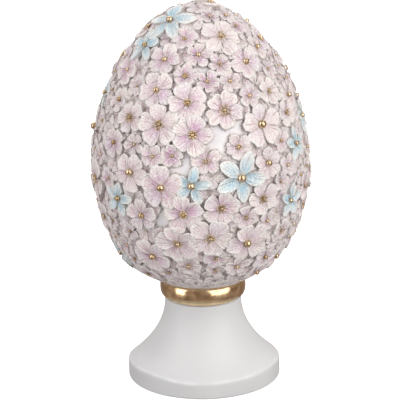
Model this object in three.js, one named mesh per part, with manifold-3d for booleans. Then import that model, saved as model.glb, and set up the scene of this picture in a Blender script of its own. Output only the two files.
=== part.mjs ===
// A decorative egg on its stand, in millimetres, +Z up, with the origin on the table
// under the middle of the foot. Three pieces: the egg with its relief of five-petalled
// flowers, the gilt collar ring that it is seated in, and the flared round stand.
import * as THREE from "three";
import { mergeVertices } from "three/addons/utils/BufferGeometryUtils.js";
import Module from "manifold-3d";

const wasm = await Module();
wasm.setup();

// Sizes of the stand
const FOOT_RADIUS = 41.2;
const FOOT_BAND_HEIGHT = 9.4;
const FOOT_CHAMFER = 0.9;
const NECK_RADIUS = 20.6;
const NECK_TOP = 44.95;
const FLARE_POWER = 2.13;
const FLARE_STEPS = 9;

// Sizes of the collar ring, a full oval rim round a disc, resting on the neck with a
// hair's gap
const SEAT_GAP = 0.3;
const COLLAR_RADIUS = 18.6;
const COLLAR_RIM_WIDTH = 4.5;
const COLLAR_HALF_HEIGHT = 5.7;
const COLLAR_FULLNESS = 0.75;
const COLLAR_MIDDLE = NECK_TOP + SEAT_GAP + COLLAR_HALF_HEIGHT;
const COLLAR_STEPS = 6;

// Sizes of the smooth egg under the flowers: its widest radius, the reach of its two
// halves over and under that waist, and how much of its bottom is cut flat to be seated
const EGG_RADIUS = 56.2;
const EGG_RISE = 83;
const EGG_DROP = 70.4;
const EGG_CUT = 5.35;
const RISE_POWER = 1.15;
const UPPER_ROUNDING = 1.08;
const LOWER_ROUNDING = 0.85;
const EGG_SEAT = COLLAR_MIDDLE + COLLAR_HALF_HEIGHT + SEAT_GAP;
const EGG_WAIST = EGG_SEAT + EGG_DROP - EGG_CUT;
const CUTTER_RADIUS = 2 * EGG_RADIUS;

// Sizes of the flowers: heights stand above the smooth egg
const PETALS = 5;
const RIM_HEIGHT = 3.0;
const NOTCH_HEIGHT = 0.4;
const THROAT_HEIGHT = 1.3;
const BEAD_HEIGHT = 3.8;
const THROAT_SHARE = 0.24;
const ROOT_SHARE = 2;

// Petal outlines: how far the notches come in, and how full the petals are beside them
const ROUND_NOTCH = 0.62;
const ROUND_FULLNESS = 2.6;
const STAR_NOTCH = 0.42;
const STAR_FULLNESS = 1.3;

// Points along one petal's rim, from the notch on its right (-1) past its tip (0)
const FINE_FLOWER = 10.2;
const FINE_SIDES = { round: [-1, -0.5, 0.5], star: [-1, -0.4, 0, 0.4] };
const PLAIN_SIDES = [-1, 0];

// How finely round pieces are divided, and how exactly places on the egg are found
const ROUND_SEGMENTS = 44;
const EGG_SEGMENTS = 26;
const EGG_STEPS = 13;
const HALVINGS = 40;
const SMALL_STEP = 0.05;

// The view that the flowers were placed in: a camera in front of the egg, its target on
// the axis, with lengths in millimetres, turns in degrees and picture places in pixels.
const VIEW_DISTANCE = 1400;
const VIEW_TARGET = 100;
const VIEW_RISE = 17.74;
const VIEW_LEAN = -0.99;
const VIEW_SCALE = 1.8685;
const VIEW_MIDDLE = [201.36, 197.23];
const SIGHT_STEP = 1;
const CENTRE_HEIGHT = 2.4;

// Each flower: the picture place of its centre (pixels), its radius (mm) and its turn
// (degrees), which is the angle of one petal seen from outside, counted from the right.
const BLUE_STARS = [
  [241.7, 178, 13.8, 62],
  [191.3, 186.3, 10.5, 8],
  [117.3, 199, 9.5, 10],
  [170.5, 18.5, 13, 40],
  [145.5, 43.2, 9.5, 33],
  [297, 142.5, 9, 18],
  [291, 201, 9, 13],
  [302.5, 114, 9, 20],
  [104.8, 91, 9, 30],
  [120.3, 254.5, 10, 5],
];
const BEADED_BLOOMS = [
  [262, 123.3, 11.3, 19],
  [160.5, 188, 11.5, 17],
  [247.5, 244.5, 11.5, 35],
  [192.5, 134.5, 10, 70],
  [183, 215.5, 10.3, 25],
  [129, 172.3, 10, 59],
  [141.3, 216, 9.3, 18],
  [152.5, 258, 10.5, 50],
  [187.7, 101.8, 9.8, 40],
  [156, 88.3, 9.5, 48],
  [164.5, 57.3, 8.5, 10],
  [245.6, 59.8, 8.6, 44],
  [269.2, 162.8, 8.2, 20],
  [113, 141.7, 8, 50],
  [289.2, 93, 8, 18],
  [257.2, 44.5, 7, 40],
  [118.5, 97.5, 6.8, 60],
  [265.5, 258.3, 8, 0],
];
const STAMEN_BLOOMS = [
  [210.5, 239, 11, 60],
  [177.7, 245.5, 11, 30],
  [224.8, 109, 10, 62],
  [158.3, 123.3, 10.5, 28],
  [221, 35, 10.3, 66],
  [221.7, 208.8, 9.5, 2],
  [263.5, 199, 8.7, 37],
  [129.5, 116.7, 8.5, 49],
  [127.5, 67.8, 8.5, 8],
  [206, 161.3, 7.5, 34],
  [287.3, 111.5, 7.5, 30],
  [269, 89.5, 7, 60],
  [308.8, 146.3, 7, 40],
  [239.4, 146.3, 7.3, 40],
  [282.5, 231.5, 7.2, 10],
];

// The flowers out of sight follow a rule: tries wind round the egg, larger flowers
// first, and a try is kept where it has room beside its neighbours and over the seat.
const HIDDEN_STAR_RADIUS = 12;
const HIDDEN_STAR_SPACING = 52;
const HIDDEN_BLOOM_RADIUS = 11.5;
const HIDDEN_BLOOM_SPACING = 24;
const HIDDEN_SMALL_RADIUS = 8;
const HIDDEN_SMALL_SPACING = 20;
const HIDDEN_FLOWERS = [
  { kind: "star", radius: HIDDEN_STAR_RADIUS, apart: HIDDEN_STAR_SPACING, tries: 240 },
  { kind: "round", radius: HIDDEN_BLOOM_RADIUS, apart: HIDDEN_BLOOM_SPACING, tries: 900 },
  { kind: "round", radius: HIDDEN_SMALL_RADIUS, apart: HIDDEN_SMALL_SPACING, tries: 1500 },
];
const NEIGHBOUR_SHARE = 0.9;
const SEAT_CLEARANCE = 9;
const IN_SIGHT = 0.3;
const GOLDEN_TURN = Math.PI * (3 - Math.sqrt(5));

const EGG_MIDDLE = new THREE.Vector3(0, 0, EGG_WAIST);
const RIGHT = new THREE.Vector3(1, 0, 0);
const UP = new THREE.Vector3(0, 0, 1);
const radians = THREE.MathUtils.degToRad;
const VIEW_BACK = new THREE.Vector3(0, -Math.cos(radians(VIEW_RISE)), Math.sin(radians(VIEW_RISE)));
const VIEW_UP = RIGHT.clone().cross(VIEW_BACK).negate();

// The egg's half outline at a latitude, as a radius and a height over its waist.
function eggOutline(latitude) {
  const across = Math.max(0, Math.cos(latitude));
  const along = Math.sin(latitude);
  if (along >= 0) {
    return [EGG_RADIUS * across ** UPPER_ROUNDING, EGG_RISE * along ** RISE_POWER];
  }
  return [EGG_RADIUS * across ** LOWER_ROUNDING, EGG_DROP * along];
}

// The point of the smooth egg in the direction of a point, from the egg's middle.
function onEgg(point) {
  const away = point.clone().sub(EGG_MIDDLE);
  const flat = Math.hypot(away.x, away.y);
  let low = -Math.PI / 2;
  let high = Math.PI / 2;
  for (let step = 0; step < HALVINGS; step += 1) {
    const [radius, height] = eggOutline((low + high) / 2);
    if (height * flat < away.z * radius) {
      low = (low + high) / 2;
    } else {
      high = (low + high) / 2;
    }
  }
  const [radius, height] = eggOutline((low + high) / 2);
  const turn = Math.atan2(away.y, away.x);
  return new THREE.Vector3(radius * Math.cos(turn), radius * Math.sin(turn), EGG_WAIST + height);
}

// The directions at a point of the egg: outward, to the right and upward.
function directionsAt(point) {
  const right = UP.clone().cross(new THREE.Vector3(point.x, point.y, 0));
  if (right.length() < SMALL_STEP) {
    right.copy(RIGHT);
  }
  right.normalize();
  const away = point.clone().sub(EGG_MIDDLE).normalize();
  const climb = away.cross(right).multiplyScalar(SMALL_STEP);
  const upward = onEgg(point.clone().add(climb)).sub(onEgg(point.clone().sub(climb))).normalize();
  const outward = right.clone().cross(upward).normalize();
  return { outward, right, upward };
}

// The place on the egg seen at a picture place, or the nearest one beside the outline.
function seenPlace(across, down) {
  const lean = radians(VIEW_LEAN);
  const x = across - VIEW_MIDDLE[0];
  const y = down - VIEW_MIDDLE[1];
  const start = UP.clone().multiplyScalar(VIEW_TARGET).addScaledVector(VIEW_BACK, VIEW_DISTANCE);
  const toward = VIEW_BACK.clone().multiplyScalar(-VIEW_DISTANCE * VIEW_SCALE);
  toward.addScaledVector(RIGHT, x * Math.cos(lean) + y * Math.sin(lean));
  toward.addScaledVector(VIEW_UP, x * Math.sin(lean) - y * Math.cos(lean));
  toward.normalize();
  const reach = EGG_RISE + EGG_DROP;
  let nearest = Infinity;
  let best = null;
  for (let far = VIEW_DISTANCE - reach; far < VIEW_DISTANCE + reach; far += SIGHT_STEP) {
    const point = start.clone().addScaledVector(toward, far);
    const surface = onEgg(point);
    const height = point.distanceTo(EGG_MIDDLE) - surface.distanceTo(EGG_MIDDLE);
    if (height < nearest) {
      nearest = height;
      best = surface;
    }
    if (height < CENTRE_HEIGHT) {
      break;
    }
  }
  return best;
}

function makeFlower(kind, place, radius, turn) {
  return { kind, place, radius, turn, ...directionsAt(place) };
}

function flowersInView() {
  const groups = [["star", BLUE_STARS], ["round", BEADED_BLOOMS], ["round", STAMEN_BLOOMS]];
  const flowers = [];
  for (const [kind, group] of groups) {
    for (const [across, down, radius, turn] of group) {
      flowers.push(makeFlower(kind, seenPlace(across, down), radius, radians(turn)));
    }
  }
  return flowers;
}

function hasRoom(place, wanted, flowers) {
  return flowers.every((other) => {
    const gap = place.distanceTo(other.place);
    const clear = NEIGHBOUR_SHARE * (wanted.radius + other.radius);
    return gap > clear && (other.kind !== wanted.kind || gap > wanted.apart);
  });
}

function addHiddenFlowers(flowers) {
  for (const wanted of HIDDEN_FLOWERS) {
    for (let i = 0; i < wanted.tries; i += 1) {
      const height = 1 - (2 * i + 1) / wanted.tries;
      const flat = Math.sqrt(1 - height * height);
      const turn = GOLDEN_TURN * i;
      const toward = new THREE.Vector3(flat * Math.cos(turn), flat * Math.sin(turn), height);
      const place = onEgg(toward.add(EGG_MIDDLE));
      const hidden = directionsAt(place).outward.dot(VIEW_BACK) < IN_SIGHT;
      if (hidden && place.z > EGG_SEAT + SEAT_CLEARANCE && hasRoom(place, wanted, flowers)) {
        flowers.push(makeFlower(wanted.kind, place, wanted.radius, turn));
      }
    }
  }
}

// How far a petal reaches, as a share of the flower's radius, at a share of the way from
// the petal's tip (0) to the notch beside it (1).
function petalReach(kind, aside) {
  if (kind === "star") {
    return STAR_NOTCH + (1 - STAR_NOTCH) * (1 - aside ** STAR_FULLNESS);
  }
  return ROUND_NOTCH + (1 - ROUND_NOTCH) * Math.sqrt(1 - aside ** ROUND_FULLNESS);
}

// A point over the egg, at a distance and angle from a flower's centre.
function flowerPoint(flower, distance, angle, height) {
  const point = flower.place.clone();
  point.addScaledVector(flower.right, distance * Math.cos(angle));
  point.addScaledVector(flower.upward, distance * Math.sin(angle));
  const foot = onEgg(point);
  return foot.addScaledVector(directionsAt(foot).outward, height);
}

function indexedGeometry(points, index) {
  const geometry = new THREE.BufferGeometry();
  const places = points.flatMap((point) => point.toArray());
  geometry.setAttribute("position", new THREE.Float32BufferAttribute(places, 3));
  geometry.setIndex(index);
  return geometry;
}

// One flower as a closed solid: petals cupped round a low throat, a raised centre bead,
// and walls that narrow down to a root inside the egg.
function flowerGeometry(flower) {
  const half = Math.PI / PETALS;
  const sides = flower.radius < FINE_FLOWER ? PLAIN_SIDES : FINE_SIDES[flower.kind];
  const perPetal = sides.length;
  const count = perPetal * PETALS;
  const rim = [];
  const throat = [];
  for (let petal = 0; petal < PETALS; petal += 1) {
    const middle = flower.turn + 2 * half * petal;
    for (const side of sides) {
      const reach = petalReach(flower.kind, Math.abs(side)) * flower.radius;
      const height = side === -1 ? NOTCH_HEIGHT : RIM_HEIGHT;
      rim.push(flowerPoint(flower, reach, middle + side * half, height));
    }
    throat.push(flowerPoint(flower, THROAT_SHARE * flower.radius, middle, THROAT_HEIGHT));
  }
  const bead = flowerPoint(flower, 0, 0, BEAD_HEIGHT);
  const root = flower.place.clone().addScaledVector(flower.outward, -ROOT_SHARE * flower.radius);
  const beadIndex = count + PETALS;
  const rootIndex = beadIndex + 1;
  const index = [];
  for (let petal = 0; petal < PETALS; petal += 1) {
    const here = count + petal;
    const after = count + ((petal + 1) % PETALS);
    const notch = ((petal + 1) * perPetal) % count;
    for (let i = petal * perPetal; i < (petal + 1) * perPetal; i += 1) {
      const next = (i + 1) % count;
      index.push(i, next, here);
      index.push(next, i, rootIndex);
    }
    index.push(notch, after, here);
    index.push(here, after, beadIndex);
  }
  return indexedGeometry([...rim, ...throat, bead, root], index);
}

function toSolid(geometry) {
  const plain = geometry.clone();
  plain.deleteAttribute("normal");
  plain.deleteAttribute("uv");
  const merged = mergeVertices(plain);
  return new wasm.Manifold(new wasm.Mesh({
    numProp: 3,
    vertProperties: new Float32Array(merged.attributes.position.array),
    triVerts: new Uint32Array(merged.index.array),
  }));
}

function toGeometry(solid) {
  const mesh = solid.getMesh();
  const geometry = new THREE.BufferGeometry();
  geometry.setAttribute("position", new THREE.Float32BufferAttribute(mesh.vertProperties, 3));
  geometry.setIndex(Array.from(mesh.triVerts));
  return geometry;
}

// A turned solid, whose half outline of radius and height starts and ends on the axis.
function turned(outline, segments) {
  const points = outline.map(([radius, height]) => new THREE.Vector2(radius, height));
  const geometry = new THREE.LatheGeometry(points, segments);
  geometry.rotateX(Math.PI / 2);
  return toSolid(geometry);
}

// The smooth egg with its flowers joined on, flat underneath where it rests on the collar.
function eggGeometry() {
  const outline = [];
  for (let i = 0; i <= EGG_STEPS; i += 1) {
    const [radius, height] = eggOutline(Math.PI * (i / EGG_STEPS - 0.5));
    outline.push([i === 0 || i === EGG_STEPS ? 0 : radius, EGG_WAIST + height]);
  }
  let egg = turned(outline, EGG_SEGMENTS);
  const flowers = flowersInView();
  addHiddenFlowers(flowers);
  for (const flower of flowers) {
    egg = egg.add(toSolid(flowerGeometry(flower)));
  }
  const floor = EGG_SEAT - EGG_DROP;
  const cutter = [[0, floor], [CUTTER_RADIUS, floor], [CUTTER_RADIUS, EGG_SEAT], [0, EGG_SEAT]];
  return toGeometry(egg.subtract(turned(cutter, EGG_SEGMENTS)));
}

function standGeometry() {
  const shoulder = FOOT_RADIUS - FOOT_CHAMFER;
  const outline = [
    [0, 0],
    [shoulder, 0],
    [FOOT_RADIUS, FOOT_CHAMFER],
    [FOOT_RADIUS, FOOT_BAND_HEIGHT - FOOT_CHAMFER],
  ];
  for (let i = 0; i <= FLARE_STEPS; i += 1) {
    const up = i / FLARE_STEPS;
    const spread = (shoulder - NECK_RADIUS) * (1 - up) ** FLARE_POWER;
    outline.push([NECK_RADIUS + spread, FOOT_BAND_HEIGHT + (NECK_TOP - FOOT_BAND_HEIGHT) * up]);
  }
  outline.push([0, NECK_TOP]);
  return toGeometry(turned(outline, ROUND_SEGMENTS));
}

function collarGeometry() {
  const outline = [[0, COLLAR_MIDDLE - COLLAR_HALF_HEIGHT]];
  for (let i = 0; i <= COLLAR_STEPS; i += 1) {
    const angle = Math.PI * (i / COLLAR_STEPS - 0.5);
    const across = Math.max(0, Math.cos(angle)) ** COLLAR_FULLNESS;
    const along = Math.sign(angle) * Math.abs(Math.sin(angle)) ** COLLAR_FULLNESS;
    outline.push([
      COLLAR_RADIUS + COLLAR_RIM_WIDTH * across,
      COLLAR_MIDDLE + COLLAR_HALF_HEIGHT * along,
    ]);
  }
  outline.push([0, COLLAR_MIDDLE + COLLAR_HALF_HEIGHT]);
  return toGeometry(turned(outline, ROUND_SEGMENTS));
}

function piece(name, geometry, color, roughness, metalness) {
  const material = new THREE.MeshStandardMaterial({ color, roughness, metalness, flatShading: true });
  const mesh = new THREE.Mesh(geometry, material);
  mesh.name = name;
  return mesh;
}

const ornament = new THREE.Group();
ornament.add(piece("stand", standGeometry(), 0xe9e7e6, 0.55, 0));
ornament.add(piece("gold_collar", collarGeometry(), 0xc89a4b, 0.25, 1));
ornament.add(piece("flower_egg", eggGeometry(), 0xe6d9de, 0.5, 0));

export default ornament;
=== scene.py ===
# Looks of the decorative flower egg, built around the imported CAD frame. Sizes are in
# millimetres and MM turns them into metres for Blender; only the studio's are in metres.
import math

import bpy
import numpy as np
from mathutils import Matrix, Vector, kdtree


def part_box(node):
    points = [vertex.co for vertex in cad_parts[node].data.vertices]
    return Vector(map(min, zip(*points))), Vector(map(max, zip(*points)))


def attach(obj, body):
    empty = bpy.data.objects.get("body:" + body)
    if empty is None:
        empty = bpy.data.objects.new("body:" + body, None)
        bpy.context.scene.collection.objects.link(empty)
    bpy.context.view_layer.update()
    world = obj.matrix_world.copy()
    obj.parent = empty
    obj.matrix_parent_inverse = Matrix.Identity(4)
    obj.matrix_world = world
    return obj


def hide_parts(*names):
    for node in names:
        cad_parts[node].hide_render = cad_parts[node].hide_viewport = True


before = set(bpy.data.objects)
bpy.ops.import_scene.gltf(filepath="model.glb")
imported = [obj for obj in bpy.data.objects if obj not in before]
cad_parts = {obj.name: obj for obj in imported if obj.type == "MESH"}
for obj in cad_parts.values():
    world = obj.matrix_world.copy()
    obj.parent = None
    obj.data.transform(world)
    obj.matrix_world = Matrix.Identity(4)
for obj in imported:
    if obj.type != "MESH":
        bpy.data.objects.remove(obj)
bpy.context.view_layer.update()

MM = 0.001
SEED = 7

# The smooth egg under the flowers, as in the CAD
EGG_RADIUS = 56.2
EGG_WAIST = 122
EGG_RISE = 83
EGG_DROP = 70.4
RISE_POWER = 1.15
UPPER_ROUNDING = 1.08
LOWER_ROUNDING = 0.85
EGG_MIDDLE = np.array([0, 0, EGG_WAIST])
OUTLINE_STEPS = 4001
GROUND_ROWS = 210
GROUND_AROUND = 320

# The stand and the collar, as in the CAD: their reach comes from the frame
STAND_BOX = [np.array(corner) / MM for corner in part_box("stand")]
COLLAR_BOX = [np.array(corner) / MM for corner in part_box("gold_collar")]
EGG_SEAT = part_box("flower_egg")[0][2] / MM
FOOT_RADIUS = STAND_BOX[1][0]
FOOT_BAND_HEIGHT = 9.4
FOOT_EDGE = 1.2
NECK_RADIUS = 20.6
NECK_TOP = STAND_BOX[1][2]
FLARE_POWER = 2.13
COLLAR_RIM_WIDTH = 4.5
COLLAR_RADIUS = COLLAR_BOX[1][0] - COLLAR_RIM_WIDTH
COLLAR_MIDDLE = (COLLAR_BOX[0][2] + COLLAR_BOX[1][2]) / 2
COLLAR_HALF_HEIGHT = (COLLAR_BOX[1][2] - COLLAR_BOX[0][2]) / 2
COLLAR_FULLNESS = 0.75

# How finely the turned pieces are divided: round the axis and along their outlines
AROUND = 160
BAND_LEVELS = (0.35, 0.55, 0.75)
EDGE_POINTS = 7
EDGE_ARC = 50
FLARE_STEPS = 48
COLLAR_POINTS = 33

# The hand-finished foot: the waves of its upper edge, how far up and down they reach,
# the ripple along the edge, and the swell of the side
EDGE_WAVE = 0.9
WAVE_TURNS = 3
WAVE_REACH = 4.5
EDGE_RIPPLE = 0.2
RIPPLE_TURNS = 7
SIDE_SWELL = 0.2
SWELL_TURNS = 2
SWELL_START = 0.6

# The hem over the collar, where the petals end: its height over the seat, the zone in
# which relief grows to its full height, and the share of that height it starts from
HEM = 1.4
HEM_ZONE = 9
HEM_FLATNESS = 0.25
PETAL_FLOOR = EGG_SEAT + 0.5 * HEM

# The camera of the photograph: distances in millimetres, picture places in pixels
PICTURE = 400
VIEW_DISTANCE = 1400
VIEW_TARGET = 100
VIEW_RISE = 17.74
VIEW_LEAN = -0.99
VIEW_SCALE = 1.8685
VIEW_MIDDLE = (201.36, 197.23)
SENSOR = 36

# Finding places on the egg: steps along a line of sight and along the surface, how high
# flowers are seen, and guards near the axis
SIGHT_STEP = 1
SMALL_STEP = 0.05
CENTRE_HEIGHT = 2.4
NEAR_POLE = 1e-4
TINY = 1e-9

# Each flower in view: picture place of its centre (pixels), radius (mm), turn of one
# petal (degrees from the right, seen from outside), how strongly its heart is tinted,
# its centre ("ball", "beads", "stamens" or "dot") and the centre's radius (mm).
BLUE_STARS = [
    (241.7, 178, 13.8, 62, 1.0, "ball", 2.5),
    (191.3, 186.3, 10.5, 8, 1.0, "ball", 2.2),
    (117.3, 199, 9.5, 10, 0.8, "ball", 1.8),
    (170.5, 18.5, 13, 40, 0.9, "ball", 2.0),
    (145.5, 43.2, 9.5, 33, 1.0, "ball", 1.6),
    (297, 142.5, 9, 18, 0.9, "ball", 1.7),
    (291, 201, 9, 13, 1.0, "ball", 1.5),
    (302.5, 114, 9, 20, 0.7, "ball", 1.6),
    (104.8, 91, 9, 30, 0.7, "ball", 1.6),
    (120.3, 254.5, 10, 5, 0.7, "ball", 1.6),
]
BEADED_BLOOMS = [
    (262, 123.3, 11.3, 19, 0.25, "ball", 2.5),
    (160.5, 188, 11.5, 17, 1.0, "ball", 2.2),
    (247.5, 244.5, 11.5, 35, 0.5, "ball", 2.4),
    (192.5, 134.5, 10, 70, 0.85, "beads", 2.2),
    (183, 215.5, 10.3, 25, 0.9, "beads", 2.1),
    (129, 172.3, 10, 59, 0.6, "ball", 2.2),
    (141.3, 216, 9.3, 18, 0.6, "ball", 1.8),
    (152.5, 258, 10.5, 50, 0.7, "ball", 2.1),
    (187.7, 101.8, 9.8, 40, 0.8, "beads", 1.9),
    (156, 88.3, 9.5, 48, 0.6, "ball", 1.7),
    (164.5, 57.3, 8.5, 10, 0.7, "ball", 1.5),
    (245.6, 59.8, 8.6, 44, 0.6, "ball", 1.9),
    (269.2, 162.8, 8.2, 20, 0.3, "ball", 2.0),
    (113, 141.7, 8, 50, 0.8, "ball", 1.4),
    (289.2, 93, 8, 18, 0.5, "ball", 1.6),
    (257.2, 44.5, 7, 40, 0.5, "ball", 1.6),
    (118.5, 97.5, 6.8, 60, 0.3, "ball", 1.5),
    (265.5, 258.3, 8, 0, 0.4, "ball", 1.5),
]
STAMEN_BLOOMS = [
    (210.5, 239, 11, 60, 0.35, "stamens", 2.7),
    (177.7, 245.5, 11, 30, 0.5, "stamens", 2.7),
    (224.8, 109, 10, 62, 0.6, "stamens", 3.0),
    (158.3, 123.3, 10.5, 28, 0.6, "stamens", 2.8),
    (221, 35, 10.3, 66, 0.2, "stamens", 2.3),
    (221.7, 208.8, 9.5, 2, 0.7, "stamens", 2.6),
    (263.5, 199, 8.7, 37, 0.4, "stamens", 2.5),
    (129.5, 116.7, 8.5, 49, 0.5, "stamens", 2.6),
    (127.5, 67.8, 8.5, 8, 0.8, "dot", 1.2),
    (206, 161.3, 7.5, 34, 0.8, "stamens", 1.9),
    (287.3, 111.5, 7.5, 30, 0.3, "stamens", 1.9),
    (269, 89.5, 7, 60, 0.4, "stamens", 1.9),
    (308.8, 146.3, 7, 40, 0.4, "dot", 1.2),
    (239.4, 146.3, 7.3, 40, 0.6, "beads", 1.5),
    (282.5, 231.5, 7.2, 10, 0.4, "stamens", 1.7),
]
SMALLER_BLOOMS = [
    (184.8, 37.4, 6.6, 30, 0.8, "dot", 1.2),
    (198.5, 52.5, 6.6, 8, 0.8, "dot", 1.4),
    (185, 73.7, 6.3, 10, 0.9, "beads", 1.5),
    (207.3, 80, 6, 60, 0.9, "stamens", 1.3),
    (230, 80, 5.6, 20, 0.5, "dot", 1.2),
    (219.7, 62, 6, 50, 0.8, "stamens", 1.3),
    (250, 94, 6, 0, 0.7, "ball", 1.3),
    (151.6, 156.5, 6.6, 70, 0.7, "dot", 1.1),
    (171.5, 155.8, 6.3, 20, 0.9, "dot", 1.0),
    (133.8, 144, 5.8, 50, 0.4, "dot", 0.9),
    (246.2, 218.3, 6.5, 30, 0.6, "stamens", 1.6),
    (267.8, 222, 6.2, 60, 0.5, "dot", 1.1),
    (216, 259.5, 6.3, 40, 0.7, "stamens", 1.6),
    (188.3, 268, 6.6, 50, 0.6, "stamens", 2.0),
    (237, 267.5, 6.8, 20, 0.5, "stamens", 1.8),
    (289.5, 165, 5.8, 70, 0.4, "dot", 1.2),
    (282.3, 140, 5.8, 30, 0.5, "dot", 1.1),
    (136.3, 84.5, 6, 20, 0.5, "dot", 0.8),
    (209.5, 15.2, 5, 10, 0.9, "stamens", 1.2),
    (225.5, 13, 5.5, 50, 0.4, "dot", 1.2),
    (235.5, 24, 5.5, 30, 0.8, "stamens", 1.2),
    (282.3, 182, 5.5, 0, 0.4, "dot", 0.9),
    (268.7, 67, 5.5, 40, 0.6, "dot", 0.9),
    (278.5, 63.5, 5, 10, 0.3, "dot", 1.0),
    (129, 233.5, 5, 60, 0.7, "dot", 0.9),
    (126, 247, 5.5, 20, 0.6, "dot", 0.9),
    (111, 222, 6, 0, 0.6, "dot", 0.9),
    (106.4, 179, 6, 30, 0.7, "dot", 0.9),
    (302.3, 175, 5.5, 0, 0.4, "dot", 1.1),
    (297, 210.5, 5.5, 40, 0.4, "dot", 1.1),
    (112.5, 104.7, 4.5, 0, 0.4, "dot", 0.8),
    (111, 88, 5, 30, 0.4, "dot", 0.8),
    (100.3, 119, 6, 0, 0.5, "dot", 1.0),
    (98.5, 154.4, 6, 10, 0.6, "dot", 0.9),
    (97, 183, 6, 50, 0.5, "dot", 0.9),
    (215.8, 272.8, 5.5, 0, 0.5, "stamens", 1.5),
    (168.3, 274, 5, 30, 0.5, "dot", 1.0),
    (134, 260.5, 5, 0, 0.6, "dot", 1.0),
    (290.5, 238.7, 5, 0, 0.4, "dot", 1.0),
]

# The flowers out of sight follow the CAD's rule, and then smaller ones fill the gaps:
# kind, radius, least distance to one of the same kind, height over the seat, and tries.
LARGE_HIDDEN = [("star", 12, 52, 9, 240), ("round", 11.5, 24, 9, 900), ("round", 8, 20, 9, 1500)]
FILLING = [("round", 8.2, 0, 7, 2500), ("round", 6.4, 0, 6, 4000), ("round", 5.0, 0, 5, 6000)]
TUCKED = [("round", 6.8, 0, 2, 4500), ("round", 5.2, 0, 2, 6000)]
NEIGHBOUR_SHARE = 0.9
FILLING_SHARE = 0.74
TUCKED_SHARE = 0.56
IN_SIGHT = 0.3
GOLDEN_TURN = math.pi * (3 - math.sqrt(5))

# What such a flower draws: how strongly its heart is tinted, its centre with the odds of
# each kind, and the centre's radius, as a share of the flower's unless it is a dot
HIDDEN_FLUSHES = (0.2, 1.0)
TUCKED_FLUSHES = (0.1, 0.6)
CENTRE_KINDS = ["ball", "stamens", "beads"]
CENTRE_ODDS = [0.4, 0.45, 0.15]
BALL_SHARE = 0.2
CLUSTER_SHARE = 0.24
DOT_RADIUS = 1.0
DOTTED_BELOW = 7

# How high flowers lie over the egg, in layers of LAYER_LIFT: from the first to the last
# flower of each list in view, and the range that the others draw from
STAR_LAYERS = (1.0, 0.7)
BEADED_LAYERS = (0.9, 0.35)
STAMEN_LAYERS = (0.8, 0.3)
SMALLER_LAYERS = (0.5, 0.0)
HIDDEN_LAYERS = (0.5, 1.0)
FILLING_LAYERS = (0.0, 0.5)
TUCKED_LAYERS = (-1.2, -0.6)
LAYER_LIFT = 0.8

# Patches of the smooth egg that stay bare: picture place and radius (mm)
BARE_PATCHES = [(224, 134, 12), (181, 166, 8), (164, 222, 7), (200, 66, 5), (243, 160, 5)]
PATCH_MARGIN = 0.6

# The columns and rows of faces on the petals of large, small and tucked flowers, where
# the rows start as a share of the radius, and how they crowd towards the rim
PETALS = 5
LARGE_FLOWER = 8.0
LARGE_GRID = (14, 9)
SMALL_GRID = (10, 6)
TUCKED_GRID = (6, 4)
HEART_SHARE = 0.07
ROW_CROWDING = 1.35

# Petal outlines: half their spread (degrees), how far the sides come in, the powers of
# their curves, the notch in a round tip, and the waves along the edge
STAR_SPREADS = (35, 39)
ROUND_SPREADS = (35, 43)
STAR_WAIST = 0.3
STAR_FULLNESS = 1.4
STAR_BLUNTNESS = 0.85
ROUND_WAIST = 0.45
ROUND_FULLNESSES = (1.8, 4.2)
ROUND_BLUNTNESS = 0.65
NOTCHES = (0, 0.06, 0.13)
NOTCH_WIDTH = 0.22
NOTCH_SHIFT = 0.1
SLOW_TURNS = 4
SLOW_WAVE = 0.035
FAST_TURNS = 9
FAST_WAVE = 0.025

# Petal forms in millimetres, as ranges where each petal draws its own. Sizes are shares
# of the flower's radius, and the sway is an angle. Tilt, cup, curl, lift and flutter are
# those of a flower of FORM_RADIUS, and grow with the flower.
FORM_RADIUS = 10
SIZES = (0.97, 1.12)
SWAY = 0.08
BASE_HEIGHT = 0.3
RISES = (0.9, 1.9)
RISE_CURVE = 0.8
LIFTS = (0, 0.4)
TILTS = (0.1, 0.6)
CUPS = (-0.4, 0.7)
CUP_MIDDLE = 0.35
CURLS = (-1.1, 0.5)
CURL_START = 0.55
CURL_GAIN = 3
FLUTTER = 0.16
GROOVE_DEPTH = 0.2
GROOVE_ENDS = (0.1, 0.92)
GROOVE_CURVE = 0.6
SIDE_DROP = 0.35
RIM_RISE = 0.14
RIM_DROP = 0.12
PETAL_THICKNESS = 1.0
WALL_HEIGHT = 0.55
WALL_SHARE = 0.965
ROOT_SHARE = 0.84
ROOT_DEPTH = 1.6

# How a petal takes its paint: the tint it draws, as a share of its flower's, and the
# brown painted shade along its sides, on its wall and on its root
FLUSHES = (0.55, 1.15)
SIDE_PAINTED_SHADE = 0.5
SIDE_PAINTED_SHADE_CURVE = 0.7
WALL_PAINTED_SHADE = 0.6
ROOT_PAINTED_SHADE = 1.0

# Gilt centres: a ball or a dot as drawn in a list is a little smaller on the egg, and
# is raised by a share of its radius
CENTRE_BASE = 1.0
CENTRE_SHARE = 0.87
BALL_SQUASH = 0.9
BALL_LIFT = 0.35
DOT_LIFT = 0.2

# A cluster of beads: parts as shares of its radius, heights over the base in millimetres
BEADS = 7
MIDDLE_BEAD = 0.5
MIDDLE_LIFT = 0.6
RING_BEAD = 0.33
RING_REACH = 0.72
RING_LIFT = 0.4
RING_JITTER = 0.2

# Stamens: as with the beads, and each rod has its start, its two heights and its width
MANY_STAMENS = 10
FEW_STAMENS = 7
MANY_FROM = 2.2
PISTIL_BEAD = 0.36
PISTIL_LIFT = 0.4
STAMEN_REACHES = (0.6, 1.05)
STAMEN_SWAY = 0.25
STAMEN_START = 0.1
STAMEN_LOW = 0.2
STAMEN_HIGH = 0.75
STAMEN_WIDTH = 0.16
STAMEN_BEAD = 0.14
STAMEN_BEAD_LEAST = 0.1
STAMEN_BEAD_LIFT = 0.8
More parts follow.
